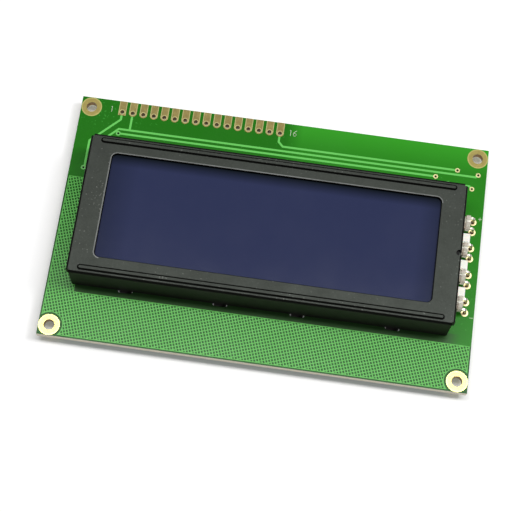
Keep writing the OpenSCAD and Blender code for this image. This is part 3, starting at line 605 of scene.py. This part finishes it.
def makeHeaderPads(look):
    finish, tree, shader, place, tin = makeFinish("headerPad", look)[:5]
    low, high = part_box("header_pads")
    split = splitNode(tree, place)
    pitch = look["pitch"] * mm
    halfPad = (high.x - low.x - look["gaps"] * pitch) / 2
    steps = mathNode(tree, "DIVIDE", mathNode(tree, "SUBTRACT", split["X"], low.x + halfPad), pitch)
    stray = mathNode(tree, "SUBTRACT", steps, mathNode(tree, "ROUND", steps))
    offX = mathNode(tree, "MULTIPLY", stray, pitch)
    offY = mathNode(tree, "SUBTRACT", split["Y"], low.y + halfPad)
    # painted highlight round each hole and along the pad's sides
    side = mathNode(tree, "GREATER_THAN", mathNode(tree, "ABSOLUTE", offX), look["side"] * mm)
    padHighlight = mathNode(tree, "MAXIMUM", ringMask(tree, offX, offY, look["ring"]), side)
    plug(tree, shader["Metallic"], rangeNode(tree, padHighlight, 0.0, 1.0, look["dullMetal"], look["brightMetal"]))
    edged = mixColour(tree, padHighlight, tin, look["padHighlightTone"])
    # painted shade in the hole's barrel
    barrel = barrelMask(tree, place, look["barrelDepth"])
    plug(tree, shader["Base Color"], mixColour(tree, barrel, edged, look["barrelShadeTone"]))
    return finish


made["headerPad"] = makeHeaderPads(headerLook)


# rings of the mounting holes: a painted highlight on the rim round a stained, wiped flat, and painted shade
# in the barrel
cornerLook = dict(
    finishes["tinnedPad"], tone=(0.53, 0.42, 0.125), toneToo=(0.58, 0.48, 0.150), smudge=1500.0,
    barrelShadeTone=headerLook["barrelShadeTone"], barrelDepth=headerLook["barrelDepth"],
    rim=(2.1, 2.3), rimHighlightTone=(0.74, 0.68, 0.22),
)


def makeCornerPads(look, holeInset):
    finish, tree, shader, place, tin = makeFinish("cornerPad", look)[:5]
    split = splitNode(tree, place)
    offX, offY = (mathNode(tree, "SUBTRACT", mathNode(tree, "ABSOLUTE", split[axis]), half - holeInset * mm)
                  for axis, half in (("X", boardHigh.x), ("Y", boardHigh.y)))
    # painted highlight on the outer rim, then painted shade in the barrel below
    rimHighlighted = mixColour(tree, ringMask(tree, offX, offY, look["rim"]), tin, look["rimHighlightTone"])
    barrel = barrelMask(tree, place, look["barrelDepth"])
    plug(tree, shader["Base Color"], mixColour(tree, barrel, rimHighlighted, look["barrelShadeTone"]))
    return finish


made["cornerPad"] = makeCornerPads(cornerLook, hatchPlan["holeInset"])


# vias: bare rings at the right end, covered by the green mask elsewhere and at the bezel's edge; painted
# shade in the barrels
viaLook = dict(
    finishes["tinnedVia"], tone=(0.60, 0.56, 0.28), toneToo=(0.52, 0.47, 0.22),
    barrelShadeTone=(0.03, 0.025, 0.012), coveredX=40.05, coveredHalf=0.9, bareMetal=0.75,
)


def makeVias(look):
    finish, tree, shader, place, tin = makeFinish("viaRing", look)[:5]
    across = splitNode(tree, place)["X"]
    right = mathNode(tree, "GREATER_THAN", across, 0.0)
    offCovered = mathNode(tree, "ABSOLUTE", mathNode(tree, "SUBTRACT", across, look["coveredX"] * mm))
    clear = mathNode(tree, "GREATER_THAN", offCovered, look["coveredHalf"] * mm)
    bare = mathNode(tree, "MULTIPLY", right, clear)
    plug(tree, shader["Metallic"], mathNode(tree, "MULTIPLY", bare, look["bareMetal"]))
    ring = mixColour(tree, bare, finishes["maskedCopper"]["tone"], tin)
    # painted shade: the barrels get a near-black tone
    barrel = barrelMask(tree, place, 0.0)
    plug(tree, shader["Base Color"], mixColour(tree, barrel, ring, look["barrelShadeTone"]))
    return finish


made["viaRing"] = makeVias(viaLook)
print(len(made), "finishes made")

dressing = {
    "circuit_board": "greenMask", "mounting_pads": "cornerPad", "header_pads": "headerPad",
    "lamp_pads": "tinnedVia", "vias": "viaRing", "front_tracks": "trackCopper",
    "back_tracks": "maskedCopper", "ground_hatch": "maskedCopper", "zebra_contacts": "tinnedPad",
    "bezel": "blackSteel", "front_polariser": "displayFilm", "front_glass": "plateGlass",
    "cell_seal": "sealResin", "rear_glass": "plateGlass", "rear_polariser": "deepFilm",
    "upper_zebra_strip": "layeredRubber", "lower_zebra_strip": "layeredRubber",
    "backlight_tray": "whitePlastic", "reflector_film": "whiteFilm", "light_guide": "clearAcrylic",
    "diffuser_stack": "whiteFilm", "solder_joints": "solder", "controller_blob": "blackEpoxy",
    "driver_blob_1": "blackEpoxy", "driver_blob_2": "blackEpoxy", "chip_resistors": "resistorBlack",
    "chip_capacitors": "tanCeramic", "chip_ends": "solder",
}
for number in range(1, 5):
    dressing[f"lamp_{number}"] = "lampEpoxy"
    dressing[f"lamp_leads_{number}"] = "tinnedSteel"

for name, finishName in dressing.items():
    for materialSlot in nodes[name].material_slots:
        materialSlot.material = made[finishName]
print("solids dressed")


# lowest and highest corner of a node, in mm
def boxInMm(name):
    low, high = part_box(name)
    return low / mm, high / mm


def addPiece(name, points, faces, finishName, slotName):
    mesh = bpy.data.meshes.new(name)
    mesh.from_pydata([tuple(c * mm for c in p) for p in points], [], faces)
    mesh.validate()
    mesh.update()
    mesh.materials.append(made[finishName])
    piece = bpy.data.objects.new(name, mesh)
    scene.collection.objects.link(piece)
    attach(piece, body)
    return piece


# closed plate with holes: outlines and holes are loops of points, in mm
def plateWithHoles(outlines, holes, inside, low, high, snap=1e-7):
    flat, edges = [], []
    for loop in outlines + holes:
        first = len(flat)
        flat += [Vector(p) for p in loop]
        edges += [(first + i, first + (i + 1) % len(loop)) for i in range(len(loop))]
    cut = delaunay_2d_cdt(flat, edges, [], 0, snap)
    spots, triangles = cut[0], cut[2]
    kept = []
    for triangle in triangles:
        centre = sum((spots[i] for i in triangle), Vector((0, 0))) / 3
        if inside(centre):
            kept.append(tuple(triangle))
    # only the points that a kept triangle uses
    used = sorted({i for triangle in kept for i in triangle})
    renumbered = {old: new for new, old in enumerate(used)}
    kept = [tuple(renumbered[i] for i in triangle) for triangle in kept]
    spots = [spots[i] for i in used]
    count = len(spots)
    points = [(p.x, p.y, z) for z in (high, low) for p in spots]
    faces, seen = [], {}
    for a, b, c in kept:
        if (spots[b] - spots[a]).cross(spots[c] - spots[a]) < 0:
            b, c = c, b
        faces.append((a, b, c))
        faces.append((a + count, c + count, b + count))
        for start, stop in ((a, b), (b, c), (c, a)):
            seen[(start, stop)] = True
    for start, stop in list(seen):
        if (stop, start) not in seen:
            faces.append((stop, start, start + count, stop + count))
    return points, faces


def boxShape(low, high):
    points = [(x, y, z) for x in (low[0], high[0]) for y in (low[1], high[1]) for z in (low[2], high[2])]
    return points, [(0, 1, 3, 2), (4, 6, 7, 5), (0, 4, 5, 1), (2, 3, 7, 6), (0, 2, 6, 4), (1, 5, 7, 3)]


# ring turned about an upright axis from a closed loop of (radius, height)
def turnedRing(loop, x, y, steps=28):
    points, faces = [], []
    count = len(loop)
    for i in range(steps):
        angle = 2 * math.pi * i / steps
        points += [(x + r * math.cos(angle), y + r * math.sin(angle), z) for r, z in loop]
    for i in range(steps):
        for k in range(count):
            here, there = i * count, ((i + 1) % steps) * count
            nextK = (k + 1) % count
            faces.append((here + k, there + k, there + nextK, here + nextK))
    return points, faces


def joinShapes(shapes):
    points, faces = [], []
    for morePoints, moreFaces in shapes:
        first = len(points)
        points += morePoints
        faces += [tuple(first + i for i in face) for face in moreFaces]
    return points, faces


# middle of every separate solid in a node, in mm
def solidCentres(name):
    mesh = nodes[name].data
    owner = list(range(len(mesh.vertices)))

    def find(i):
        while owner[i] != i:
            owner[i] = owner[owner[i]]
            i = owner[i]
        return i

    for edge in mesh.edges:
        a, b = edge.vertices
        owner[find(a)] = find(b)
    spans = {}
    for vertex in mesh.vertices:
        spans.setdefault(find(vertex.index), []).append(vertex.co / mm)
    centres = []
    for spots in spans.values():
        low = [min(p[axis] for p in spots) for axis in range(3)]
        high = [max(p[axis] for p in spots) for axis in range(3)]
        centres.append(tuple((a + b) / 2 for a, b in zip(low, high)))
    return sorted(centres)


# copper plane with its full lattice of openings, in place of the coarse solid
def buildGroundPlane(plan):
    x1, y0 = halfWidth - plan["edge"], -halfHeight + plan["edge"]
    ringX, ringY = halfWidth - plan["holeInset"], -halfHeight + plan["holeInset"]
    turn = math.radians(plan["turn"])
    across = Vector((math.cos(turn), math.sin(turn)))
    along = Vector((-math.sin(turn), math.cos(turn)))
    halfAcross, halfAlong = plan["holeAcross"] / 2, plan["holeAlong"] / 2

    def inArea(p, margin):
        if not (-x1 + margin < p.x < x1 - margin and p.y > y0 + margin):
            return False
        low = p.y < plan["stripTop"] - margin
        left = p.x < plan["leftStrip"] - margin and p.y < plan["leftTop"] - margin
        clear = (abs(p.x) - ringX) ** 2 + (p.y - ringY) ** 2 > (plan["ringClear"] + margin) ** 2
        return (low or left) and clear and not (abs(p.x) > ringX and p.y < ringY)

    # outline of the copper, or of the lattice inside its plain border
    def outline(margin):
        r = plan["ringClear"] + margin
        right, bottom = x1 - margin, y0 + margin
        start = -math.pi + math.asin((ringY - bottom) / r)
        stop = -2 * math.pi + math.acos((right - ringX) / r)
        steps = plan["arcSteps"]
        angles = [start + (stop - start) * i / steps for i in range(steps + 1)]
        rightArc = [Vector((ringX + r * math.cos(a), ringY + r * math.sin(a))) for a in angles]
        leftArc = [Vector((-p.x, p.y)) for p in reversed(rightArc)]
        top, inner, upper = plan["stripTop"] - margin, plan["leftStrip"] - margin, plan["leftTop"] - margin
        corners = [Vector(p) for p in ((right, top), (inner, top), (inner, upper), (-right, upper))]
        return rightArc + corners + leftArc

    # openings are cut off where the border starts
    count = int(math.hypot(halfWidth, halfHeight) / plan["pitchAcross"]) + 1
    holes = []
    for i in range(-count, count + 1):
        for j in range(-count, count + 1):
            p = across * (i * plan["pitchAcross"]) + along * (j * plan["pitchAlong"])
            corners = [p + across * (sx * halfAcross) + along * (sy * halfAlong)
                       for sx, sy in ((-1, -1), (1, -1), (1, 1), (-1, 1))]
            if any(inArea(corner, plan["border"]) for corner in corners):
                holes.append(corners)

    def inside(p):
        if not inArea(p, plan["border"]):
            return inArea(p, 0)
        i, j = p.dot(across) / plan["pitchAcross"], p.dot(along) / plan["pitchAlong"]
        return (abs(i - round(i)) * plan["pitchAcross"] > halfAcross
                or abs(j - round(j)) * plan["pitchAlong"] > halfAlong)

    low = boardTop / mm
    loops = [outline(0), outline(plan["border"])]
    points, faces = plateWithHoles(loops, holes, inside, low, low + plan["thickness"])
    piece = addPiece("groundPlane", points, faces, "maskedCopper", "masked_copper")
    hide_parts("ground_hatch")
    return piece


groundPlane = buildGroundPlane(hatchPlan)
print("ground plane", len(groundPlane.data.polygons), "faces")


# black border on the front glass, lapped over its right end
tapePlan = {"thickness": 0.04, "filmGap": 0.05, "endLap": 0.3}


def buildCellTape(plan):
    glassLow, glassHigh = boxInMm("front_glass")
    filmLow, filmHigh = boxInMm("front_polariser")
    innerX, innerY = filmHigh.x + plan["filmGap"], filmHigh.y + plan["filmGap"]
    leftX, rightX, outerY = glassLow.x, glassHigh.x + plan["endLap"], glassHigh.y
    outer = [(leftX, -outerY), (rightX, -outerY), (rightX, outerY), (leftX, outerY)]
    inner = [(-innerX, -innerY), (innerX, -innerY), (innerX, innerY), (-innerX, innerY)]
    points, faces = plateWithHoles([outer], [inner], lambda p: abs(p.x) > innerX or abs(p.y) > innerY,
                                   glassHigh.z, glassHigh.z + plan["thickness"])
    addPiece("cellTape", points, faces, "blackTape", "polariser")


buildCellTape(tapePlan)
print("cell tape done")


# what shows inside each clear lamp: two posts, the cup's plate and the chip under its phosphor
lampPlan = {
    "count": 4, "leadPitch": 2.54, "faceInset": 0.02, "post": 0.5, "postLength": 1.9,
    "plateBack": 0.3, "plateLength": 1.3, "plateReach": 1.5, "plateThick": 0.3,
    "chip": 0.5, "chipThick": 0.2,
}


def buildLampInsides(plan):
    half, thin, chip = plan["post"] / 2, plan["plateThick"] / 2, plan["chip"] / 2
    for number in range(1, plan["count"] + 1):
        low, high = boxInMm(f"lamp_{number}")
        y, z = (low.y + high.y) / 2, (low.z + high.z) / 2
        frontX = high.x - plan["faceInset"]
        backX = frontX - plan["postLength"]
        shapes = []
        for side in (-1, 1):
            postY = y + side * plan["leadPitch"] / 2
            shapes.append(boxShape((backX, postY - half, z - half), (frontX, postY + half, z + half)))
        plateX, plateY = backX - plan["plateBack"], y - plan["leadPitch"] / 2 - half
        farY = plateY + plan["plateReach"]
        shapes.append(boxShape((plateX, plateY, z - thin), (backX + plan["plateLength"], farY, z + thin)))
        addPiece(f"lampFrame_{number}", *joinShapes(shapes), "lampFrame", "tinned_steel")
        points, faces = boxShape((plateX - plan["chipThick"], farY - 2 * chip, z - chip),
                                 (plateX, farY, z + chip))
        addPiece(f"lampChip_{number}", points, faces, "yellowPhosphor", "clear_epoxy")


buildLampInsides(lampPlan)
print("lamp insides done")


# dark brown ring round each lead where it enters the board: painted shade under the lead
leadShadePlan = {"radius": 0.44, "topRadius": 0.3, "bore": 0.1, "depth": 0.2, "height": 0.09, "shoulder": 0.03}


def buildLeadShade(plan, lamps):
    padLow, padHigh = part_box("lamp_pads")
    x = (padLow.x + padHigh.x) / 2 / mm
    level = boardTop / mm
    loop = [(plan["bore"], level - plan["depth"]), (plan["radius"], level - plan["depth"]),
            (plan["radius"], level + plan["shoulder"]), (plan["topRadius"], level + plan["height"]),
            (plan["bore"], level + plan["height"])]
    shapes = []
    for number in range(1, lamps["count"] + 1):
        low, high = boxInMm(f"lamp_leads_{number}")
        for side in (-1, 1):
            shapes.append(turnedRing(loop, x, (low.y + high.y) / 2 + side * lamps["leadPitch"] / 2))
    addPiece("leadShadeRings", *joinShapes(shapes), "driedFlux", "solder")


buildLeadShade(leadShadePlan, lampPlan)
print("flux done")


# printed strokes as thin square bars
def strokeBoxes(strokes, width, low, high):
    shapes = []
    for start, stop in strokes:
        start, stop = Vector(start), Vector(stop)
        along = (stop - start).normalized() * width / 2
        side = Vector((-along.y, along.x))
        corners = [start - side - along, stop - side + along, stop + side + along, start + side - along]
        points = [(p.x, p.y, z) for z in (low, high) for p in corners]
        shapes.append((points, [(0, 3, 2, 1), (4, 5, 6, 7), (0, 1, 5, 4), (1, 2, 6, 5), (2, 3, 7, 6),
                                (3, 0, 4, 7)]))
    return joinShapes(shapes)


def loopStrokes(spots, closed=False):
    ends = spots[1:] + spots[:1] if closed else spots[1:]
    return list(zip(spots, ends))


def moveStrokes(strokes, x, y, size=1.0, mirror=1):
    return [tuple((x + px * size * mirror, y + py * size) for px, py in stroke) for stroke in strokes]


figures = {
    "1": loopStrokes([(-0.12, 0.55), (0.05, 0.7), (0.05, -0.7)]),
    "6": loopStrokes([(0.4, 0.7), (-0.3, 0.1), (-0.3, -0.5), (-0.1, -0.7), (0.25, -0.7), (0.4, -0.5),
                      (0.4, -0.2), (0.25, 0.0), (-0.3, 0.0)]),
    "plus": [((-0.4, 0), (0.4, 0)), ((0, -0.4), (0, 0.4))],
    "minus": [((-0.4, 0), (0.4, 0))],
}

markPlan = {
    "width": 0.12, "thick": 0.02, "numberDrop": 2.3, "firstGap": 1.7, "lastGap": 1.6, "figureStep": 1.0,
    "signGap": 0.75, "signDrop": 0.15, "signSize": 0.9,
    "backWidth": 0.15, "backThick": 0.07, "outlineX": 1.95, "outlineY": 1.1,
    "ringGap": 0.35, "ringWidth": 0.2, "ringSteps": 96,
}


def buildMarks(plan):
    padLow, padHigh = boxInMm("header_pads")
    lampLow, lampHigh = boxInMm("lamp_pads")
    y = padHigh.y - plan["numberDrop"]
    last = padHigh.x + plan["lastGap"]
    strokes = moveStrokes(figures["1"], padLow.x - plan["firstGap"], y)
    strokes += moveStrokes(figures["1"], last, y)
    strokes += moveStrokes(figures["6"], last + plan["figureStep"], y)
    x, row = lampHigh.x + plan["signGap"], lampHigh.y + plan["signDrop"]
    strokes += moveStrokes(figures["plus"], x, row, plan["signSize"])
    strokes += moveStrokes(figures["minus"], x, -row, plan["signSize"])
    level = boardTop / mm
    points, faces = strokeBoxes(strokes, plan["width"], level, level + plan["thick"])
    addPiece("frontMarks", points, faces, "silkInk", "white_plastic")


def buildBackMarks(plan):
    # outlines round the small parts, rings round the domes and the header's numbers, seen from behind
    high = boardBack / mm
    low = high - plan["backThick"]
    halfX, halfY = plan["outlineX"], plan["outlineY"]
    outline = loopStrokes([(-halfX, -halfY), (halfX, -halfY), (halfX, halfY), (-halfX, halfY)], closed=True)
    strokes = []
    for name in ("chip_resistors", "chip_capacitors"):
        for x, y, z in solidCentres(name):
            strokes += moveStrokes(outline, x, y)
    padLow, padHigh = boxInMm("header_pads")
    y = padHigh.y - plan["numberDrop"]
    last = padHigh.x + plan["lastGap"]
    for name, x in (("1", padLow.x - plan["firstGap"]), ("1", last + plan["figureStep"]), ("6", last)):
        strokes += moveStrokes(figures[name], x, y, mirror=-1)
    shapes = [strokeBoxes(strokes, plan["backWidth"], low, high)]
    for name in ("controller_blob", "driver_blob_1", "driver_blob_2"):
        domeLow, domeHigh = boxInMm(name)
        inner = (domeHigh.x - domeLow.x) / 2 + plan["ringGap"]
        outer = inner + plan["ringWidth"]
        middle = (domeLow + domeHigh) / 2
        shapes.append(turnedRing([(inner, low), (outer, low), (outer, high), (inner, high)],
                                 middle.x, middle.y, plan["ringSteps"]))
    addPiece("backMarks", *joinShapes(shapes), "silkInk", "white_plastic")


buildMarks(markPlan)
buildBackMarks(markPlan)
print("marks done")
